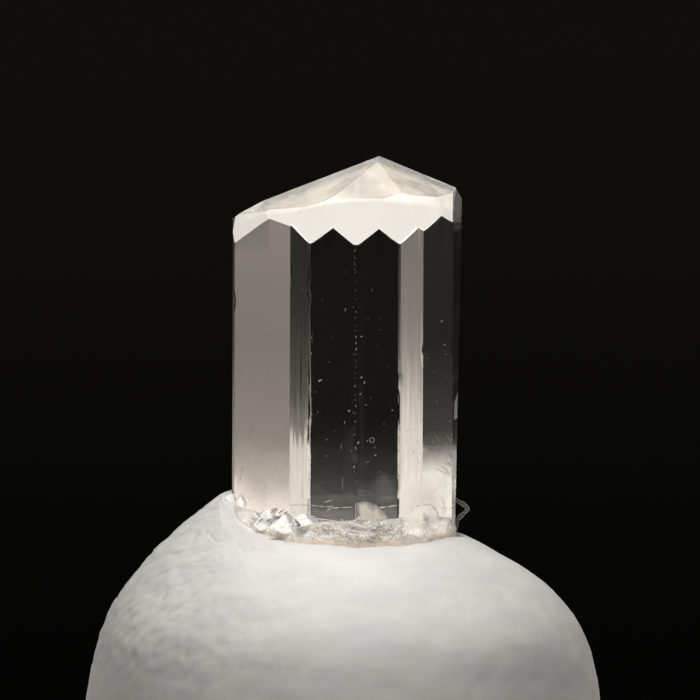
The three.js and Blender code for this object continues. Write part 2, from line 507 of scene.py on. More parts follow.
def cut_growth_lines(shell, rng):
    for azimuth, spacing, _ in GROWTH_LINES:
        faces = side_faces(shell, azimuth)
        if not faces:
            continue
        along = faces[0].normal.cross(UP).normalized()
        reach = [vert.co.dot(along) for face in faces for vert in face.verts]
        low, high = min(reach), max(reach)
        line = low + spacing * MM * rng.uniform(0.5, 1.2)
        while line < high - 0.4 * spacing * MM:
            cut(shell, side_faces(shell, azimuth), along * line, along)
            line += spacing * MM * rng.uniform(0.5, 1.5)


def cut_rows(shell, rng):
    height = SEAT.z + ROWS[0]
    while height < SEAT.z + ROWS[1]:
        cut(shell, list(shell.faces), Vector((0.0, 0.0, height)), UP)
        height += rng.uniform(*ROW_STEP)


def refine(shell, kind, longest):
    """Splits the faces of a kind into triangles with no side above longest."""
    bmesh.ops.triangulate(shell, faces=faces_of(shell, kind))
    for _ in range(REFINE_ROUNDS):
        edges = dict.fromkeys(edge for face in faces_of(shell, kind) for edge in face.edges)
        long = [edge for edge in edges if edge.calc_length() > longest]
        if not long:
            break
        bmesh.ops.subdivide_edges(shell, edges=long, cuts=1)
        loose = [f for f in faces_of(shell, kind) if len(f.verts) > 3]
        bmesh.ops.triangulate(shell, faces=loose)


def inner_verts(shell, kind):
    """Vertices that only faces of one kind share, each with its distance from the kind's border."""
    inner, border = [], []
    for vert in dict.fromkeys(v for f in faces_of(shell, kind) for v in f.verts):
        same = all(face.material_index == kind for face in vert.link_faces)
        (inner if same else border).append(vert)
    tree = KDTree(len(border))
    for i, vert in enumerate(border):
        tree.insert(vert.co, i)
    tree.balance()
    inner.sort(key=lambda v: tuple(v.co))
    return [(vert, tree.find(vert.co)[2]) for vert in inner]


def ripple_growth_lines(shell):
    """Presses each growth line in or out by its own amount, which drifts along the crystal."""
    for azimuth, spacing, depth in GROWTH_LINES:
        faces = side_faces(shell, azimuth)
        if not faces:
            continue
        normal = faces[0].normal.copy()
        along = normal.cross(UP).normalized()
        own = set(faces)
        verts = {v for f in faces for v in f.verts if all(g in own for g in v.link_faces)}
        for vert in verts:
            across = vert.co.dot(along) / (spacing * MM)
            tall = (vert.co.z - SEAT.z) / GROWTH_RUN
            value = noise.noise(Vector((across * 3.1 + azimuth, tall, azimuth * 0.37)))
            vert.co += normal * value * 2 * depth * MM


def swell_top(shell):
    """Low growth hillocks on the faces of the tip."""
    for vert, distance in inner_verts(shell, TOP):
        p = vert.co / MM
        swell = noise.noise(p * 1.7) + 0.35 * noise.noise(p * 5.1)
        vert.co += vert.normal * swell * HILLOCK_HEIGHT * MM * smoothstep(0.0, 0.3 * MM, distance)


def break_foot(shell):
    """Conchoidal ripples and small splintered facets on the broken foot."""
    rng = random.Random(5)
    slopes = {}
    for vert, distance in inner_verts(shell, FOOT):
        p = (vert.co - SEAT) / MM
        centre = noise.voronoi(p * FACETS_PER_MM)[1][0]
        key = tuple(round(c, 3) for c in centre)
        if key not in slopes:
            slopes[key] = Vector([rng.uniform(-1, 1) for _ in range(3)]) * FACET_SLOPE
        splinter = (p - Vector(centre) / FACETS_PER_MM).dot(slopes[key])
        nearest = min((p - Vector(c)).length for c in RIPPLE_CENTRES)
        ripple = RIPPLE_HEIGHT * math.sin(TURN * nearest / RIPPLE_WIDTH)
        rough = 0.01 * noise.noise(p * 9)
        fade = smoothstep(0.0, 0.12 * MM, distance)
        vert.co += vert.normal * (splinter * 0.55 + ripple + rough - 0.02) * MM * fade


def nick_edges(shell):
    """Small bruises along the upright edges."""
    for vert in {v for f in faces_of(shell, EDGE) for v in f.verts}:
        p = (vert.co - SEAT) / MM
        if ROWS[0] / MM < p.z < ROWS[1] / MM:
            bruise = smoothstep(0.22, 0.62, noise.noise(Vector((p.x * 4, p.y * 4, p.z * 3.1))))
            vert.co -= vert.normal * bruise * BRUISE_DEPTH * MM


def make_crystal():
    rng = random.Random(11)
    shell = crystal_faces()
    sharp = [e for e in shell.edges if e.calc_face_angle(0.0) > EDGE_ANGLE]
    keep = [e for e in sharp if not all(f.material_index == FOOT for f in e.link_faces)]
    bmesh.ops.bevel(
        shell, geom=keep, offset=EDGE_WIDTH, offset_type="OFFSET", segments=1, profile=0.5,
        affect="EDGES", clamp_overlap=False, material=EDGE,
    )
    cut_growth_lines(shell, rng)
    cut_rows(shell, rng)
    refine(shell, TOP, TOP_SIDE)
    refine(shell, FOOT, FOOT_SIDE)
    ripple_growth_lines(shell)
    swell_top(shell)
    break_foot(shell)
    nick_edges(shell)
    bmesh.ops.triangulate(shell, faces=[f for f in shell.faces if len(f.verts) > 4])
    bmesh.ops.recalc_face_normals(shell, faces=shell.faces)
    broken = [1.0 if face.material_index == FOOT else 0.0 for face in shell.faces]
    for face in shell.faces:
        face.material_index = 0
        face.smooth = True
    mesh = bpy.data.meshes.new("crystal")
    shell.to_mesh(mesh)
    shell.free()
    mesh.attributes.new("broken", "FLOAT", "FACE").data.foreach_set("value", broken)
    mesh.set_sharp_from_angle(angle=math.radians(5))
    crystal = new_piece("crystal", mesh, crystal_material())
    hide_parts(CRYSTAL)
    return crystal


# ---------- seeing the crystal in the picture
# These use skin, bed and surfaces, which are set at the end of the script: the crystal's faces, the
# putty's, and all those that small things may lie on.
def tree_of(mesh):
    return BVHTree.FromPolygons([v.co for v in mesh.vertices], [p.vertices for p in mesh.polygons])


def bend(direction, normal):
    """A ray's direction after it enters the crystal through a face."""
    ratio = 1 / REFRACTIVE_INDEX
    slant = -direction.dot(normal)
    inner = math.sqrt(1 - ratio * ratio * (1 - slant * slant))
    return (direction * ratio + normal * (ratio * slant - inner)).normalized()


def inside(u, v, depth):
    """The point at a depth in the crystal that shows at a place of the picture."""
    direction = sight(u, v)
    point, normal, _, _ = skin.ray_cast(EYE, direction)
    if point is None:
        point, normal = skin.find_nearest(picture_point(u, v, 0.0))[:2]
    if normal.dot(direction) > 0:
        normal = -normal
    return point + bend(direction, normal) * depth


def front_point(u, v, lift):
    """The nearest point of a surface that shows at a place of the picture, lifted off it towards
    the viewer, or None where nothing shows."""
    direction = sight(u, v)
    hits = [tree.ray_cast(EYE, direction) for tree in surfaces]
    reach = [hit[3] for hit in hits if hit[0] is not None]
    return EYE + direction * (min(reach) - lift) if reach else None


GRAIN_CORNERS = 9
GRAIN_TURN = 6.3  # radians, about a full turn


class Pile:
    """Gathers small shapes into one mesh."""

    def __init__(self, seed):
        self.verts, self.faces = [], []
        self.rng = random.Random(seed)

    def hull(self, points):
        """The convex body round some points."""
        body = bmesh.new()
        for point in points:
            body.verts.new(point)
        bmesh.ops.convex_hull(body, input=body.verts)
        loose = [v for v in body.verts if not v.link_faces]
        bmesh.ops.delete(body, geom=loose, context="VERTS")
        body.verts.index_update()
        start = len(self.verts)
        self.verts += [v.co.copy() for v in body.verts]
        self.faces += [[start + v.index for v in f.verts] for f in body.faces]
        body.free()

    def grain(self, centre, size, flat=1.0):
        """An angular grain about size across, turned at random."""
        turn = Matrix.Rotation(self.rng.uniform(0, GRAIN_TURN), 3, Vector(self.direction()))
        points = []
        for _ in range(GRAIN_CORNERS):
            corner = Vector(self.direction()) * size * self.rng.uniform(0.36, 0.56)
            corner.z *= flat
            points.append(centre + turn @ corner)
        self.hull(points)

    def direction(self):
        up = self.rng.uniform(-1, 1)
        turn = self.rng.uniform(0, TURN)
        level = math.sqrt(1 - up * up)
        return (level * math.cos(turn), level * math.sin(turn), up)

    def stroke(self, a, b, width):
        """A thin spindle from a to b."""
        along = b - a
        side = along.orthogonal().normalized()
        other = along.cross(side).normalized()
        points = [a, b]
        for part, full in ((0.2, 0.8), (0.5, 1.0), (0.8, 0.75)):
            for turn in (0.3, 2.4, 4.5):
                reach = width / 2 * full * self.rng.uniform(0.7, 1.2)
                points.append(a + along * part + (side * math.cos(turn) + other * math.sin(turn)) * reach)
        self.hull(points)

    def speck(self, u, v, width, length, slant, depth):
        """A speck in the crystal, measured in pixels where it shows, and slanted from upright."""
        turn = math.radians(slant)
        du = math.sin(turn) * length / 2
        dv = -math.cos(turn) * length / 2
        if length > 1.8 * width:
            self.stroke(inside(u - du, v - dv, depth), inside(u + du, v + dv, depth), width * PIXEL * 0.9)
        else:
            self.grain(inside(u, v, depth), width * PIXEL * 0.9)

    def build(self, name, material):
        new_piece(name, new_mesh(name, self.verts, self.faces), material)


# ---------- what is sealed in the crystal
# Bright specks: picture column and row, width and length in pixels, slant from upright in degrees.
BRIGHT_SPECKS = [
    (320, 380.6, 1.6, 4.5, 70), (349, 411, 1.5, 3.2, 60), (344.7, 422.5, 1.2, 3.4, 10),
    (364.6, 382.3, 1.7, 3.6, 20), (361.5, 377.6, 1.2, 2.6, 60), (360.5, 394, 1.1, 2.4, 50),
    (361.5, 336.5, 1.2, 2.2, 60), (345.5, 309.5, 1.2, 5, 10), (358.3, 443, 1.7, 3.4, 30),
    (355.8, 448.2, 1.7, 4, -20), (354.1, 467, 1.7, 3.8, 20), (351.5, 451, 1.1, 2.4, 15),
    (375, 447.5, 1.2, 2.2, 0), (375.5, 455.3, 1.3, 2.4, 60), (367.5, 441, 1.1, 2.4, 45),
    (342.7, 484, 1.3, 14.5, 3), (341.3, 447, 0.8, 7, 6), (328, 501.5, 1.6, 8.5, 72),
    (272.6, 323.5, 1.3, 5.6, 12), (271.5, 328, 1.3, 3, 70), (273, 318.5, 1, 3, 25),
    (242.2, 470, 1.6, 8, 14), (240.3, 478.5, 1.2, 6, 10), (242.2, 375, 1, 3.4, 8),
    (251.3, 428, 0.8, 5, 16), (248.3, 436, 0.8, 6, 22), (245.2, 443.5, 0.8, 4.5, 20),
    (441.8, 321.2, 1.6, 3, 50), (444.8, 344.7, 1.4, 3, 40), (446.5, 376.2, 1.6, 2.8, 50),
    (437, 402, 1.2, 3, 20), (450.2, 421, 1.1, 2.4, 30), (446, 354, 1, 2.2, 0), (437, 446, 1, 2.4, 60),
    (392.4, 410.3, 1.1, 2.4, 30),
]
# Faint ones, in the same way.
FAINT_SPECKS = [
    (284.8, 304, 1, 3.6, 10), (251, 343, 0.9, 2.6, 20), (263, 347, 0.9, 2.4, 0), (281, 394, 1, 3, 12),
    (264, 409, 0.9, 2.4, 8), (302, 290, 1, 2.4, 30), (300, 336, 1.1, 2.6, 0), (315, 392, 1.2, 2.4, 60),
    (329, 362, 1, 2.4, 30), (372.5, 290, 1.2, 3, 20), (327, 440, 2.2, 3.2, 40), (326, 456, 1.4, 3, 60),
    (318, 412, 1, 3, 5), (334.5, 431, 1, 2.2, 40), (371, 398, 1, 2.6, 30), (366, 405, 1, 2.4, 60),
    (384, 424, 1, 2.4, 20), (379, 472, 1, 6, 64), (368, 462, 1.2, 7, 68), (388, 366, 0.9, 2.4, 0),
    (380, 330, 0.9, 2.4, 40), (345, 272, 0.9, 2.6, 20), (322, 300, 0.8, 2.4, 0), (333, 338, 0.9, 2.2, 30),
    (408, 430, 0.8, 5, 25), (414, 452, 0.8, 6, 30), (430, 300, 1, 2.4, 30), (428, 358, 1, 2.2, 60),
    (434, 372, 1, 2.6, 30), (429, 402, 1, 2.4, 10), (256, 296, 0.8, 4.2, 10), (247, 318, 0.8, 3.2, 14),
    (262, 268, 0.7, 3, 12), (278, 262, 0.7, 3.6, 8), (268, 372, 0.7, 4, 14), (258, 402, 0.7, 4.4, 18),
    (276, 436, 0.8, 4, 16), (262, 455, 0.8, 5, 20), (283, 470, 0.8, 4, 12), (294, 318, 0.7, 5, 2),
]
# The chain of specks under the middle of the front: rows, with each one's width and length.
CHAIN_U = 355.6
CHAIN = [
    (250, 1, 3), (258, 0.9, 3), (265, 1, 2.4), (272, 0.9, 3), (281, 1, 2.2), (290, 0.9, 2.6),
    (299, 1, 2.4), (312, 1.5, 2.6), (318, 1.2, 2.2), (326, 1, 2), (331, 1, 2), (337, 1.5, 2.8),
    (343, 1.4, 2.6), (349, 1.5, 2.8), (354.5, 1.4, 2.4), (361, 1, 2), (367, 1, 2.4), (373, 1, 2),
    (378, 1.4, 2.4), (386, 1.3, 2.6), (395, 1.4, 2.4), (400, 1, 2), (406, 1.4, 2.6), (414, 1.1, 3),
    (421.6, 1.5, 2.8), (428, 1, 2.6), (434, 1.1, 2.6), (456, 1, 3), (461, 1.2, 2.6), (474, 1, 3),
    (481, 1.2, 2.6), (485, 1.1, 2.2), (490, 1, 3), (495, 1.2, 2.6), (501, 1, 3),
]
BRIGHT_WIDTH = 1.25  # those of the chain above this width are bright
BUBBLE = (371.8, 440.0, 2.3)  # column, row and radius in pixels
BUBBLE_GRAINS = 14
SPECK_DEPTH = 0.03 * MM
FINE_SPECKS = 60  # too small to place one by one
FINE_COLUMNS = (238, 452)
FINE_ROWS = (250, 490)


def make_specks():
    bright, faint = Pile(21), Pile(22)
    for pile, specks in ((bright, BRIGHT_SPECKS), (faint, FAINT_SPECKS)):
        for speck in specks:
            pile.speck(*speck, SPECK_DEPTH * pile.rng.uniform(0.6, 2.0))
    rng = faint.rng
    for row, width, length in CHAIN:
        u = CHAIN_U + rng.uniform(-0.8, 0.8)
        pile = bright if width > BRIGHT_WIDTH else faint
        pile.speck(u, row, width, length, rng.uniform(-25, 35), SPECK_DEPTH)
    for _ in range(FINE_SPECKS):
        u = rng.uniform(*FINE_COLUMNS)
        v = FINE_ROWS[0] + (FINE_ROWS[1] - FINE_ROWS[0]) * rng.random() ** 0.7
        size = rng.uniform(0.4, 0.9)
        faint.speck(u, v, size, size * rng.uniform(1, 3), rng.gauss(8, 14), SPECK_DEPTH)
    u, v, radius = BUBBLE
    for i in range(BUBBLE_GRAINS):
        turn = TURN * i / BUBBLE_GRAINS
        reach = radius * bright.rng.uniform(0.9, 1.1)
        spot = inside(u + reach * math.cos(turn), v + reach * math.sin(turn), SPECK_DEPTH)
        bright.grain(spot, bright.rng.uniform(0.9, 1.5) * PIXEL)
    bright.build("specks_bright", mirror_material("speck_bright", (0.95, 0.94, 0.92), 0.45)[0])
    faint.build("specks_faint", speck_material("speck_faint", (0.85, 0.83, 0.8), 0.5))


# Bruises along the upright edges: column at the top and bottom of a stretch, the rows, how many.
BRUISED_EDGES = [
    (312, 310.6, 330, 430, 26), (310.6, 310.2, 430, 512, 26), (399.2, 398.4, 400, 512, 30),
    (290, 290.2, 250, 420, 16), (423.4, 423, 250, 430, 10), (354, 353.6, 250, 500, 14),
]
BRUISE_INSET = 0.006 * MM


def make_bruises():
    pile = Pile(31)
    rng = pile.rng
    for top_u, bottom_u, top, bottom, count in BRUISED_EDGES:
        for _ in range(count):
            part = rng.random()
            u = top_u + (bottom_u - top_u) * part + rng.gauss(0, 0.35)
            v = top + (bottom - top) * part
            width = rng.uniform(0.6, 1.2)
            pile.speck(u, v, width, width * rng.uniform(1, 3), rng.gauss(0, 20), BRUISE_INSET)
    pile.build("edge_bruises", speck_material("bruise", (0.62, 0.47, 0.36), 0.8))


# Scratches: middle column and row, spread, how many, length, slant and its spread, all as pictured.
SCRATCHES = [
    (444, 456, 9, 12, 40, 9, -48, 14), (448, 468, 7, 8, 26, 12, -55, 10),
    (432, 446, 7, 8, 16, 7, -50, 30), (411, 450, 7, 22, 10, 7, -30, 30),
]
SCRATCH_LIFT = 0.003 * MM


def make_scratches():
    pile = Pile(41)
    rng = pile.rng
    for u, v, wide, high, count, length, slant, turn in SCRATCHES:
        for _ in range(count):
            pile.speck(
                rng.gauss(u, wide * 0.6), rng.gauss(v, high * 0.6), rng.uniform(0.25, 0.5),
                length * rng.uniform(0.5, 1.5), rng.gauss(slant, turn * 0.5), -SCRATCH_LIFT,
            )
    pile.build("scratches", speck_material("scratch", (0.97, 0.95, 0.92), 0.6))


# Veils of fine cracks, and sheets of painted light: name, outline in the picture, cover, size of the
# mottling in millimetres, how much finer it is along x, y and z, colour, and pixels over which the border
# fades. Some also have how far in millimetres they lie in front of the nearest surface, and the strength
# of a painted glow.
VEIL_LIFT = 0.004
VEILS = [
    ("haze_right", [(366, 486), (380, 470), (398, 474), (398, 506), (384, 508), (368, 502)],
     0.09, 0.3, (1, 1, 0.4), (0.8, 0.78, 0.75), 8),
    ("haze_low", [(312, 496), (340, 490), (366, 492), (364, 508), (330, 508), (312, 506)],
     0.06, 0.25, (0.5, 1, 1), (0.7, 0.67, 0.62), 5),
    ("haze_left",
     [(235, 430), (262, 446), (290, 444), (311, 452), (311, 519), (290, 517), (262, 514), (236, 502)],
     0.62, 0.9, (1.3, 1.3, 0.6), (1, 0.95, 0.86), 26),
    ("haze_corner",
     [(424, 474), (440, 466), (456, 462), (456, 533), (438, 533), (424, 530), (400, 526), (400, 490)],
     0.4, 0.8, (1.2, 1.2, 0.6), (1, 0.95, 0.82), 20),
    ("grit_left",
     [(311.5, 508), (326, 510), (340, 509.5), (354, 508.5), (354, 523), (330, 523), (311.5, 520)],
     0.42, 0.035, (1, 1, 1), (0.42, 0.4, 0.38), 1.5),
    ("grit_right", [(376, 509), (398, 506), (398, 521), (387, 522)],
     0.34, 0.05, (0.4, 1, 1), (0.4, 0.39, 0.38), 1.5),
    # The patch is a painted reflection: a pale sheet laid over the front where a crack inside throws back
    # light.
    ("patch",
     [(355.5, 502), (366, 500), (377, 504), (385, 511), (392, 522), (380, 526), (368, 525),
      (355.5, 523)],
     2, 0.3, (1, 1, 0.5), (0.86, 0.82, 0.76), 9, 0.008),
    ("stain", [(378, 172), (390, 167), (402, 171), (409, 180), (403, 190), (388, 190), (380, 183)],
     0.24, 0.7, (1, 1, 1), (1, 0.78, 0.56), 10),
    # The tip's veil is painted light: a glowing cream sheet that makes the tip evenly white.
    ("tip",
     [(236, 217), (270, 203.5), (330, 179), (378, 160), (410, 172.5), (440, 185), (456, 194),
      (455, 212), (430, 208), (404, 205), (378, 203), (350, 203), (320, 207), (290, 214),
      (262, 216), (240, 226)],
     0.27, 1.1, (1, 1, 1), (1, 0.9, 0.75), 6, VEIL_LIFT, 0.92),
]
# Soft bloom over the broken foot, in the same way: cream mounds whose glow is painted light that
# brightens them.
BLOOMS = [
    ("left",
     [(224, 500), (240, 497), (256, 502), (264, 507), (254, 517), (251, 527), (262, 534), (250, 534),
      (236, 523)],
     0.85, 1.2, (1, 1, 0.7), (1, 0.965, 0.91), 6, 0.03, 0.34),
    ("right",
     [(402, 516), (412, 506), (421, 503.5), (431, 504), (438, 510), (442, 516), (450, 518),
      (454, 527), (449, 537), (420, 539), (402, 534)],
     0.9, 0.8, (1.2, 1.2, 0.6), (1, 0.955, 0.88), 6, 0.03, 0.36),
]
SHEET_STEP = 1.4  # pixels between the points of a sheet
SHEET_BREAK = 0.35 * MM  # it is torn where its depth jumps by more than this


def edges_of(outline):
    return zip(outline, outline[1:] + outline[:1])


def in_outline(u, v, outline):
    odd = False
    for (au, av), (bu, bv) in edges_of(outline):
        if (av > v) != (bv > v) and u < (bu - au) * (v - av) / (bv - av) + au:
            odd = not odd
    return odd


def border_distance(u, v, outline):
    spot = Vector((u, v))
    away = []
    for a, b in edges_of(outline):
        a, b = Vector(a), Vector(b)
        part = min(1.0, max(0.0, (spot - a).dot(b - a) / (b - a).length_squared))
        away.append((spot - a - (b - a) * part).length)
    return min(away)


def make_sheet(name, outline, spot_at, fade, material):
    """A thin sheet that fills an outline in the picture. The point that shows at a column and a row
    comes from spot_at, which is also told the part of the outline's height above that row."""
    low_u, low_v = (min(corner[k] for corner in outline) for k in (0, 1))
    high_u, high_v = (max(corner[k] for corner in outline) for k in (0, 1))
    index, verts, covers = {}, [], []
    for i in range(int((high_u - low_u) / SHEET_STEP) + 2):
        for j in range(int((high_v - low_v) / SHEET_STEP) + 2):
            u, v = low_u + i * SHEET_STEP, low_v + j * SHEET_STEP
            if not in_outline(u, v, outline):
                continue
            spot = spot_at(u, v, (v - low_v) / (high_v - low_v))
            if spot is not None:
                index[i, j] = len(verts)
                verts.append(spot)
                covers.append(min(1.0, border_distance(u, v, outline) / fade))
    faces = []
    for i, j in index:
        corners = [(i, j), (i + 1, j), (i + 1, j + 1), (i, j + 1)]
        if all(corner in index for corner in corners):
            ring = [index[corner] for corner in corners]
            depths = [verts[k].y for k in ring]
            if max(depths) - min(depths) < SHEET_BREAK:
                faces.append(ring)
    new_piece(name, new_mesh(name, verts, faces, cover=covers), material)


def make_veil(name, outline, cover, size, stretch, colour, fade, lift=VEIL_LIFT, glow=0.0):
    name = f"veil_{name}"
    # A glow above zero makes the veil painted light.
    inputs = {"Base Color": colour, "Roughness": 0.6, **carried_light(colour, glow)}
    material, n, shader = new_material(name, inputs)
    mottle = n.smooth(n.noise(n.spot(), size * MM, 2.0, stretch), 0.36, 0.62)
    spread = n.times(n.math("ADD", n.times(mottle, 0.65), 0.35), cover)
    n.set(shader, {"Alpha": n.times(spread, n.attribute("cover"))})
    make_sheet(name, outline, lambda u, v, part: front_point(u, v, lift * MM), fade, material)


# A crack that mirrors the light: its outline in the picture, its depth at the top and the bottom,
# and how much it covers.
WISP = [(383, 492), (391, 484), (398, 480), (398, 500), (388, 505), (376, 500)]
WISP_TOP = 0.8
WISP_BOTTOM = 0.3
WISP_COVER = 0.12
WISP_FADE = 4.0


def make_wisp():
    def spot_at(u, v, part):
        return inside(u, v, (WISP_TOP + (WISP_BOTTOM - WISP_TOP) * part) * MM)

    material, n, shader = mirror_material("crack_wisp", (0.95, 0.95, 0.95), 0.42)
    streak = n.smooth(n.noise(n.spot(), 0.05 * MM, 4.0, (1.0, 1.0, 0.3)), 0.3, 0.6, 0.55, 1.0)
    n.set(shader, {"Alpha": n.times(n.times(streak, n.attribute("cover")), WISP_COVER)})
    make_sheet("crack_wisp", WISP, spot_at, WISP_FADE, material)


# Crack edges that reach the surface: picture points, width in pixels.
PALE_CRACKS = [
    ([(310.8, 505.5), (318, 506.4), (325, 507.2), (334, 506.8)], 1),
    ([(326.5, 510.8), (331.5, 508.6), (340, 508), (353.5, 507.4)], 1.5),
    ([(378.3, 508.2), (387, 507.4), (397.5, 505.4)], 1.6),
    ([(355.6, 503), (355.4, 512), (356, 521)], 1),
    ([(441, 497), (445, 506), (446, 514)], 0.8), ([(426, 520), (434, 514), (437, 506)], 0.8),
]
BROWN_CRACKS = [
    ([(409, 514), (415, 507), (421, 505.2), (431, 505), (437, 512), (439, 517)], 1),
    ([(288, 505.6), (300, 505), (311, 505.8)], 0.7),
    ([(355, 521), (366, 526), (378, 531)], 0.8), ([(345, 520), (352, 518.5), (362, 522)], 0.8),
    ([(322, 515), (331, 519), (341, 521)], 0.7), ([(402, 526), (414, 522), (428, 524)], 0.6),
]
CRACK_LIFT = 0.006 * MM


def make_cracks(name, lines, colour):
    pile = Pile(51)
    for points, width in lines:
        spots = [front_point(u, v, CRACK_LIFT) for u, v in points]
        for start, end in zip(spots, spots[1:]):
            pile.stroke(start, end, width * PIXEL * pile.rng.uniform(0.7, 1.2))
    pile.build(f"crack_edges_{name}", speck_material(f"crack_{name}", colour, 0.85))


# ---------- putty
PUTTY_TURNS = 480
WALL_RINGS = 74
WALL_START = -0.72  # radians below the waist at which its wall begins
TOP_START = 4.4 * MM
TOP_RINGS = [(4.4, 3.7, 0.07), (3.7, 1.9, 0.042), (1.9, 0.0, 0.19)]  # from, to and step, in mm
SOCKET_DROP = 0.3 * MM  # a fall between two rings at the crystal's socket
WAIST = Vector((0.0, 0.0, 4.1 * MM))
BLUR = (-5, -3, -1, 1, 3, 5)  # neighbouring outlines whose mean each outline takes
PRESSED = 4.2 * MM  # how far from the axis it is pressed to the crystal
STAIN_REACH = 0.75 * MM
STAIN = 0.85
STAIN_UNDER = 0.3  # where it lies under the crystal
STAIN_START = (-2.75 * MM, -2.2 * MM)  # x over which the stain sets in from the left
CLIMB = 0.05 * MM  # how far the putty climbs up the crystal
CLIMB_REACH = 0.07 * MM
CONTACT = 0.016 * MM  # how far putty and crystal overlap where they touch
LIMIT_GAP = 0.002 * MM  # how far it keeps inside the CAD's side


def putty_ring_radii():
    radii = []
    for start, end, step in TOP_RINGS:
        count = round((start - end) / step)
        radii += [(start + (end - start) * i / count) * MM for i in range(count)]
    return radii


def spin(azimuth, radius, height):
    return Vector((radius * math.sin(azimuth), -radius * math.cos(azimuth), height))


def down(tree, azimuth, radius):
    point = tree.ray_cast(spin(azimuth, radius, 0.03), -UP)[0]
    return point.z if point is not None else 0.0


def putty_outline(tree, azimuth):
    """One half profile of the putty from its foot to its axis, with the crystal's socket filled in."""
    top_z = down(tree, azimuth, TOP_START)
    end = math.atan2(top_z - WAIST.z, TOP_START)
    points = []
    for i in range(WALL_RINGS):
        rise = WALL_START + (end - WALL_START) * i / WALL_RINGS
        way = spin(azimuth, math.cos(rise), math.sin(rise))
        points.append(tree.ray_cast(WAIST + way * 0.02, -way)[0])
    last, slope, filled = top_z, 0.0, False
    for radius in putty_ring_radii():
        height = last if filled else down(tree, azimuth, radius)
        filled = filled or height < last - SOCKET_DROP
        if filled:
            height = last + slope
            slope *= 0.8
        else:
            slope = height - last
        points.append(spin(azimuth, radius, height))
        last = height
    return points


def blur(outlines, turns):
    """Each outline as the mean of its neighbours, so that the CAD's flat facets don't show."""
    plain = [[(math.hypot(p.x, p.y), p.z) for p in outline] for outline in outlines]
    smooth = []
    for i, turn in enumerate(turns):
        column = []
        for j in range(len(plain[i])):
            near = [plain[(i + k) % PUTTY_TURNS][j] for k in BLUR]
            radius, height = (sum(spot[k] for spot in near) / len(near) for k in (0, 1))
            column.append(spin(turn, radius, height))
        smooth.append(column)
    return smooth


def knead(point, outward):
    """Moves a point of the putty for its swells, creases and crinkles."""
    p = point / MM
    swell = 0.05 * noise.noise(p * 0.55) + 0.02 * noise.noise(p * 1.6)
    folds = abs(noise.noise(Vector((p.x * 1.3, p.y * 1.3, p.z * 3.2))))
    crease = -0.035 * (1 - smoothstep(0.0, 0.09, folds))
    left = smoothstep(0.5, 4.5, -p.x) * smoothstep(4.8, 6.5, p.z)
    crinkle = left * (0.03 * noise.noise(p * 3.3) + 0.014 * noise.noise(p * 8.7))
    fine = 0.004 * noise.noise(p * 13) + 0.002 * noise.noise(p * 30)
    return point + outward * (swell + crease * (0.35 + left) + crinkle + fine - 0.03) * MM


def press_in(point):
    """Fits a point of the putty to the crystal's foot; also how much it lies on the stained rim."""
    hit = skin.ray_cast(Vector((point.x, point.y, 5 * MM)), UP)[0]
    if hit is not None and hit.z < point.z:
        return Vector((point.x, point.y, hit.z + CONTACT)), STAIN_UNDER
    away = skin.find_nearest(point, STAIN_REACH)[3]
    if away is None:
        away = STAIN_REACH
    stain = STAIN * (1 - smoothstep(0.03 * MM, STAIN_REACH, away)) ** 1.5
    return point + UP * CLIMB * math.exp(-away / CLIMB_REACH), stain * smoothstep(*STAIN_START, point.x)


def putty_point(column, j, turn, limit):
    """A point of the finished putty, with how much it is stained."""
    point, rings = column[j], len(column)
    along = (column[min(rings - 1, j + 1)] - column[max(0, j - 1)]).normalized()
    outward = along.cross(spin(turn + math.pi / 2, 1.0, 0.0)).normalized()
    if outward.dot(point - WAIST) < 0:
        outward = -outward
    if 0 < j < rings - 1:
        point = knead(point, outward)
    stain = 0.0
    if j > WALL_RINGS and math.hypot(point.x, point.y) < PRESSED:
        point, stain = press_in(point)
    reach = math.hypot(point.x, point.y)
    if reach > limit:
        point = Vector((point.x * limit / reach, point.y * limit / reach, point.z))
    return point, stain


def make_putty():
    tree = tree_of(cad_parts[PUTTY].data)
    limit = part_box(PUTTY)[1].x - LIMIT_GAP
    turns = [TURN * i / PUTTY_TURNS for i in range(PUTTY_TURNS)]
    columns = blur([putty_outline(tree, turn) for turn in turns], turns)
    rings = len(columns[0])
    verts, rim = [], []
    for column, turn in zip(columns, turns):
        for j in range(rings):
            point, stain = putty_point(column, j, turn, limit)
            verts.append(point)
            rim.append(stain)
    under = len(verts)
    verts += [spin(turn, limit / 2, 0.0) for turn in turns]
    rim += [0.0] * PUTTY_TURNS
    faces = []
    for i in range(PUTTY_TURNS):
        k = (i + 1) % PUTTY_TURNS
        a, b = i * rings, k * rings
        verts[a].z = 0.0
        faces += [(a + j, b + j, b + j + 1, a + j + 1) for j in range(rings - 1)]
        faces.append((a, under + i, under + k, b))
    faces.append([under + i for i in reversed(range(PUTTY_TURNS))])
    mesh = new_mesh("putty", verts, faces, rim=rim)
    mesh.shade_smooth()
    putty = new_piece("putty", mesh, putty_material())
    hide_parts(PUTTY)
    return putty


# ---------- broken bits round the foot
CARRIED_LIGHT = 0.25  # the painted glow of the clearest bits, painted light
# Larger splinters: picture outline, thickness in pixels, and how far in millimetres its lower end
# stands out in front of its upper end.
SPLINTERS = [
    ([(252, 527), (262, 517), (272, 511), (281, 512), (273, 526), (262, 532)], 4, 0.22),
    ([(271, 530), (279, 521), (287, 513), (293, 514), (301, 526), (296, 534), (284, 535)], 5, 0.3),
    ([(260, 516), (268, 511), (283, 508.5), (277, 515), (266, 520)], 3, 0.1),
    ([(297, 519), (304, 515), (313, 517), (319, 522), (309, 525), (300, 525)], 4, 0.2),
    ([(235, 502), (241, 497), (248, 501), (246, 508), (238, 508)], 3, 0.14),
    ([(223, 501), (228, 496), (234, 497), (235, 502), (228, 505)], 2, 0.1),
]
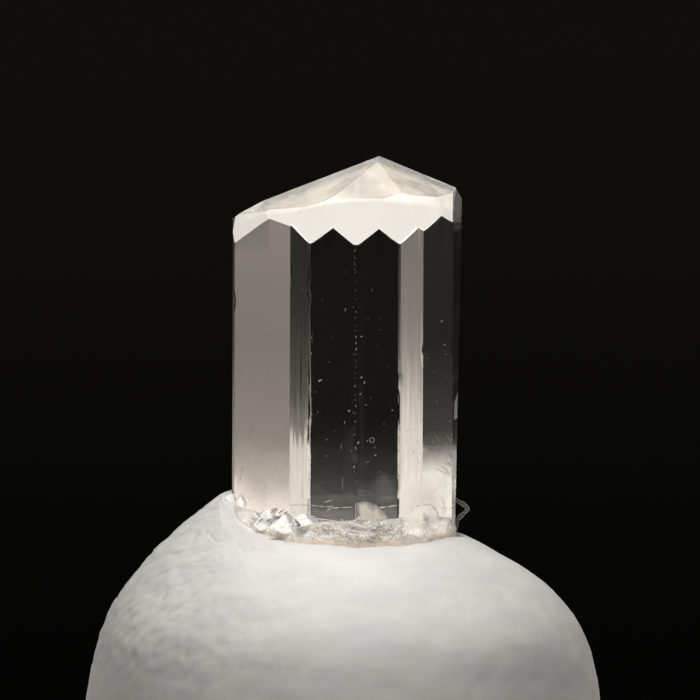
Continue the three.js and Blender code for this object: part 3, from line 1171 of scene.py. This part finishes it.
# Cracks across the splinters, drawn dark: painted shade in real cracks. From, to, and width, in the
# picture.
# Each runs over the surface through a few points, and breaks off where two of them lie too far apart.
STRIPES = [
    ((258, 522), (276, 509.5), 1.6), ((265, 523), (284, 510), 1.4), ((272, 521), (288, 511.5), 1.2),
    ((256, 526), (263, 519), 1.1), ((269, 526), (274, 519), 0.9), ((234, 500), (241, 496), 0.8),
    ((300, 520), (309, 518), 0.7),
]
STRIPE_PARTS = (0, 0.33, 0.67, 1)
STRIPE_LIFT = 0.004 * MM
STRIPE_BREAK = 14 * PIXEL
# Clusters of small chips: middle column and row, spread across and down, how many, smallest and
# largest size in pixels.
CHIPS = [
    (236, 501, 13, 5, 60, 1, 3.2), (262, 518, 18, 7, 40, 1.4, 5), (292, 525, 16, 6, 30, 1.4, 5),
    (446, 521, 6, 10, 26, 1, 3), (425, 524, 15, 6, 18, 1, 3),
]
PUTTY_SPECK = (532.8, 571.7)  # a crumb on the putty's right shoulder
PUTTY_SPECK_SIZE = 3.2 * PIXEL
# Crumbs over the foot: how many, the picture columns between which they lie and between which they
# are grey, and the clear part of the front, as columns and lowest row.
CRUMBS = 520
CRUMB_COLUMNS = (232, 456)
GREY_COLUMNS = (318.0, 398.0)
CLEAR_COLUMNS = (311, 399)
CLEAR_ROW = 519


def milky_material(name, colour, transmission):
    """Splintered crystal, clouded by fine cracks, with light soaking through and a weak glow that is
    painted light.
    """
    return clear_material(name, {
        "Base Color": colour, "Roughness": 0.25, "Transmission Weight": transmission,
        **soaking(0.8, (1.0, 0.95, 0.9), 0.15), **carried_light(colour, CARRIED_LIGHT),
    })[0]


def crumb_material(name, colour):
    """Crumbs small enough for light to soak right through, with a weak glow that is painted light."""
    glow = carried_light(colour, 0.6 * CARRIED_LIGHT)
    return speck_material(name, colour, 1.0, {**soaking(1.0, (1.0, 0.95, 0.9), 0.08), **glow})


def crushed_material():
    """Crushed crystal and putty round the foot: cream, grey in the middle, brown at the bottom, with a
    weak glow that is painted light.
    """
    material, n, shader = new_material("crushed", {
        "Roughness": 0.35, **soaking(0.4, (1.0, 0.9, 0.8), 0.06),
        **carried_light((1.0, 0.93, 0.83), 0.2 * CARRIED_LIGHT),
    })
    spot = n.spot()
    coarse = n.smooth(n.noise(spot, 0.35 * MM, 4.0, (1.0, 1.0, 1.6)), 0.38, 0.62)
    fine = n.smooth(n.noise(spot, 0.05 * MM, 4.0), 0.36, 0.64)
    cream = n.mix(coarse, (0.98, 0.95, 0.9), (0.93, 0.9, 0.9))
    granular = n.mix(fine, (0.46, 0.425, 0.375), (0.14, 0.14, 0.145))
    drift = n.smooth(n.noise(spot, 0.7 * MM, 3.0, (1.0, 1.0, 2.5)), 0.4, 0.6, 0.15, 1.0)
    patchy = n.times(n.attribute("grey"), n.math("ADD", n.times(coarse, 0.4), 0.6))
    body = n.mix(n.times(patchy, drift), cream, granular)
    blotch = n.smooth(n.noise(spot, 0.3 * MM), 0.3, 0.6, 0.35, 0.85)
    brown = n.times(n.attribute("stain"), blotch)
    bump = n.bump(n.noise(spot, 0.03 * MM, 4.0), 0.5, 0.015 * MM)
    n.set(shader, {"Base Color": n.mix(brown, body, (0.66, 0.5, 0.37)), "Normal": bump})
    return material


CRUSHED_TURNS = 640
CRUSHED_ROWS = 22
CRUSHED_REACH = 100  # degrees to each side of the front
CRUSHED_SPREAD = 0.16 * MM  # how far its lower border stands out from the crystal
CRUSHED_LAP = 0.03 * MM  # how far it laps over the crystal and into the putty
WALL_HEIGHT = 0.85 * MM  # above the seat, where the crystal's side is whole
CHIP_TOP = 0.8 * MM  # heights between which the foot's edge is looked for
CHIP_BOTTOM = -0.2 * MM
CHIP_STEP = 0.02 * MM
SHARD_SIZE = 0.3  # of its facets, in mm


def wall_radius(azimuth, height):
    """How far the crystal's side is from the axis, or None where there is no crystal."""
    way = spin(azimuth, 1.0, 0.0)
    hit = skin.ray_cast(way * 8 * MM + UP * (SEAT.z + height), -way)[0]
    return math.hypot(hit.x, hit.y) if hit is not None else None


def chip_height(azimuth, edge):
    """How high above the seat the broken foot begins."""
    height = CHIP_TOP
    while height > CHIP_BOTTOM:
        radius = wall_radius(azimuth, height)
        if radius is None or radius < edge - 0.03 * MM:
            return height
        height -= CHIP_STEP
    return height


def facet(p):
    """The height in mm of a field of tilted facets, one to each cell of the space round p."""
    centre = noise.voronoi(p / SHARD_SIZE)[1][0]
    tilt = Vector((
        noise.noise(centre * 5.3), noise.noise(centre * 7.1 + UP), noise.noise(centre * 9.7 - UP),
    ))
    return (p / SHARD_SIZE - centre).dot(tilt)


def make_crushed():
    """The crushed rim that fills the corner between the crystal's foot and the putty."""
    verts, faces, grey, stain = [], [], [], []
    for i in range(CRUSHED_TURNS):
        azimuth = math.radians(-CRUSHED_REACH + 2 * CRUSHED_REACH * i / (CRUSHED_TURNS - 1))
        edge = wall_radius(azimuth, WALL_HEIGHT)
        top = SEAT.z + chip_height(azimuth, edge) + CRUSHED_LAP
        spread = CRUSHED_SPREAD * (0.12 + 0.88 * max(0.0, math.cos(azimuth * 1.05)))
        foot = down(bed, azimuth, edge + spread)
        top = max(top, foot + 0.1 * MM)
        column = PUTTY_U + edge * math.sin(azimuth) / PIXEL
        middle = smoothstep(GREY_COLUMNS[0] - 14, GREY_COLUMNS[0] + 14, column)
        middle *= 1 - smoothstep(GREY_COLUMNS[1] - 20, GREY_COLUMNS[1] + 20, column)
        for j in range(CRUSHED_ROWS):
            part = j / (CRUSHED_ROWS - 1)
            height = top + (foot - CRUSHED_LAP - top) * part
            p = spin(azimuth, edge, height) / MM
            fine = 0.022 * noise.noise(p * 9) + 0.014 * noise.noise(p * 23) * (0.4 + middle)
            bulge = max(0.0, math.sin(math.pi * min(1.0, 0.08 + part)))
            reach = edge + spread * part ** 1.6 + (0.1 * facet(p) + fine) * bulge * MM
            reach = max(reach, edge - 0.02 * MM) - 0.01 * MM * (1 - part)
            verts.append(spin(azimuth, reach, height))
            grey.append(middle * smoothstep(0.0, 0.3, part) * (1 - 0.4 * smoothstep(0.75, 1.0, part)))
            stain.append(0.8 * smoothstep(0.45, 1.0, part) * smoothstep(225, 262, column))
    for i in range(CRUSHED_TURNS - 1):
        for j in range(CRUSHED_ROWS - 1):
            k = i * CRUSHED_ROWS + j
            faces.append((k, k + CRUSHED_ROWS, k + CRUSHED_ROWS + 1, k + 1))
    mesh = new_mesh("foot_crushed", verts, faces, grey=grey, stain=stain)
    new_piece("foot_crushed", mesh, crushed_material())
    return BVHTree.FromPolygons(verts, faces)


def add_splinters(splinters, rng):
    for outline, thick, lean in SPLINTERS:
        low, high = max(v for _, v in outline), min(v for _, v in outline)
        middle = front_point(sum(u for u, _ in outline) / len(outline), (low + high) / 2, 0.0).y
        points = []
        for u, v in outline:
            out = lean * MM * ((v - high) / (low - high) - 0.5)
            half = thick * PIXEL / 2 * rng.uniform(0.3, 1.2)
            points.append(picture_point(u, v, middle - out + half))
            back = (u + rng.uniform(-3, 3), v + rng.uniform(-2, 2))
            points.append(picture_point(*back, middle - out - half))
        splinters.hull(points)


def add_stripes(stripes):
    for (au, av), (bu, bv), width in STRIPES:
        spots = [front_point(au + (bu - au) * part, av + (bv - av) * part, STRIPE_LIFT)
                 for part in STRIPE_PARTS]
        for a, b in zip(spots, spots[1:]):
            if (b - a).length < STRIPE_BREAK:
                stripes.stroke(a, b, width * PIXEL)


def add_chips(glass, pale, rng):
    for u, v, wide, high, count, small, large in CHIPS:
        for _ in range(count):
            size = rng.uniform(small, large) * PIXEL
            spot = front_point(rng.gauss(u, wide * 0.5), rng.gauss(v, high * 0.5), size * 0.1)
            if spot is not None:
                pile = rng.choice((glass, pale, pale, pale))
                pile.grain(spot, size, rng.uniform(0.3, 0.9))


def add_crumbs(glass, pale, grey, rng):
    for _ in range(CRUMBS):
        u = rng.uniform(*CRUMB_COLUMNS)
        v = 541 - 18 * abs((u - 345) / 105) ** 3 - abs(rng.gauss(0, 11))
        size = rng.uniform(1.0, 3.4) * PIXEL
        spot = front_point(u, v, size * 0.05)
        in_clear = v < CLEAR_ROW and CLEAR_COLUMNS[0] < u < CLEAR_COLUMNS[1]
        if in_clear or spot is None:
            continue
        middle = GREY_COLUMNS[0] < u + rng.gauss(0, 12) < GREY_COLUMNS[1]
        pile = rng.choices((glass, pale, grey), (1, 3, 4) if middle else (1, 9, 0.0))[0]
        pile.grain(spot, size, rng.uniform(0.4, 1.0))


def make_rubble():
    surfaces.append(make_crushed())
    splinters, glass, pale, grey, stripes = (Pile(seed) for seed in (60, 61, 62, 63, 65))
    rng = random.Random(64)
    add_splinters(splinters, rng)
    surfaces.append(BVHTree.FromPolygons(splinters.verts, splinters.faces))
    add_stripes(stripes)
    add_chips(glass, pale, rng)
    add_crumbs(glass, pale, grey, rng)
    pale.grain(bed.find_nearest(picture_point(*PUTTY_SPECK, 0.0))[0], PUTTY_SPECK_SIZE)
    splinters.build("foot_splinters", milky_material("splinter", (1.0, 0.985, 0.96), 0.05))
    glass.build("foot_flakes", milky_material("flake", (0.98, 0.97, 0.95), 0.6))
    pale.build("foot_grit_pale", crumb_material("grit_pale", (0.98, 0.95, 0.9)))
    grey.build("foot_grit_grey", crumb_material("grit_grey", (0.62, 0.58, 0.53)))
    # The stripes' dark grey is painted shade in the cracks.
    stripes.build("splinter_cracks", speck_material("stripe", (0.42, 0.38, 0.4), 0.8))


# ---------- lint
LINT = [(453.5, 499.5), (460, 504), (466, 507.5), (469.4, 511.5), (465.5, 516.5), (460.5, 521.5),
        (458.2, 527), (457.5, 536)]
LINT_WIDTH = 0.115 * MM
LINT_FLATNESS = 0.16
LINT_DEPTH = 0.35 * MM
LINT_STEPS = 12  # between two of its points
LINT_AROUND = 12


def soft_line(points, steps):
    """A smooth line through some points."""
    line = []
    for k in range(len(points) - 1):
        p0, p1 = points[max(0, k - 1)], points[k]
        p2, p3 = points[k + 1], points[min(len(points) - 1, k + 2)]
        for t in (step / steps for step in range(steps)):
            line.append(0.5 * (2 * p1 + (p2 - p0) * t + (2 * p0 - 5 * p1 + 4 * p2 - p3) * t * t
                               + (3 * p1 - p0 - 3 * p2 + p3) * t ** 3))
    return line + [points[-1]]


def make_lint():
    """A folded flat fibre caught at the crystal's foot."""
    line = soft_line([picture_point(u, v, LINT_DEPTH) for u, v in LINT], LINT_STEPS)
    verts, across = [], []
    for k, spot in enumerate(line):
        along = (line[min(len(line) - 1, k + 1)] - line[max(0, k - 1)]).normalized()
        side = along.cross(VIEW).normalized()
        twist = 0.5 * math.sin(k * 0.11)
        side = (side * math.cos(twist) + VIEW * math.sin(twist)).normalized()
        thick = along.cross(side).normalized()
        wide = LINT_WIDTH / 2 * (1 + 0.15 * math.sin(k * 0.37))
        for i in range(LINT_AROUND):
            turn = TURN * i / LINT_AROUND
            flat = thick * LINT_FLATNESS * wide * math.sin(turn)
            verts.append(spot + side * wide * math.cos(turn) + flat)
            across.append(abs(math.cos(turn)))
    ring = range(LINT_AROUND)
    faces = []
    for k in range(len(line) - 1):
        a, b = k * LINT_AROUND, (k + 1) * LINT_AROUND
        for i, j in zip(ring, [*ring[1:], 0]):
            faces.append((a + i, a + j, b + j, b + i))
    faces += [list(ring), [len(verts) - LINT_AROUND + i for i in reversed(ring)]]
    mesh = new_mesh("lint_fibre", verts, faces, across=across)
    mesh.shade_smooth()
    material, n, shader = new_material("lint", {"Base Color": (0.55, 0.52, 0.47), "Roughness": 0.5})
    n.set(shader, {"Alpha": n.smooth(n.attribute("across"), 0.5, 0.95, 0.22, 0.6)})
    new_piece("lint_fibre", mesh, material)


# ---------- the whole scene
make_camera()
make_floor()
make_world()
make_lamp()
for i, card in enumerate(CARDS):
    make_card(i, *card)
crystal = make_crystal()
skin = tree_of(crystal.data)
putty = make_putty()
bed = tree_of(putty.data)
surfaces = [skin, bed]
make_specks()
make_bruises()
make_scratches()
for veil in VEILS:
    make_veil(*veil)
make_wisp()
make_rubble()
for bloom in BLOOMS:
    make_veil(*bloom)
make_cracks("pale", PALE_CRACKS, (0.94, 0.9, 0.84))
make_cracks("brown", BROWN_CRACKS, (0.5, 0.4, 0.3))
make_lint()
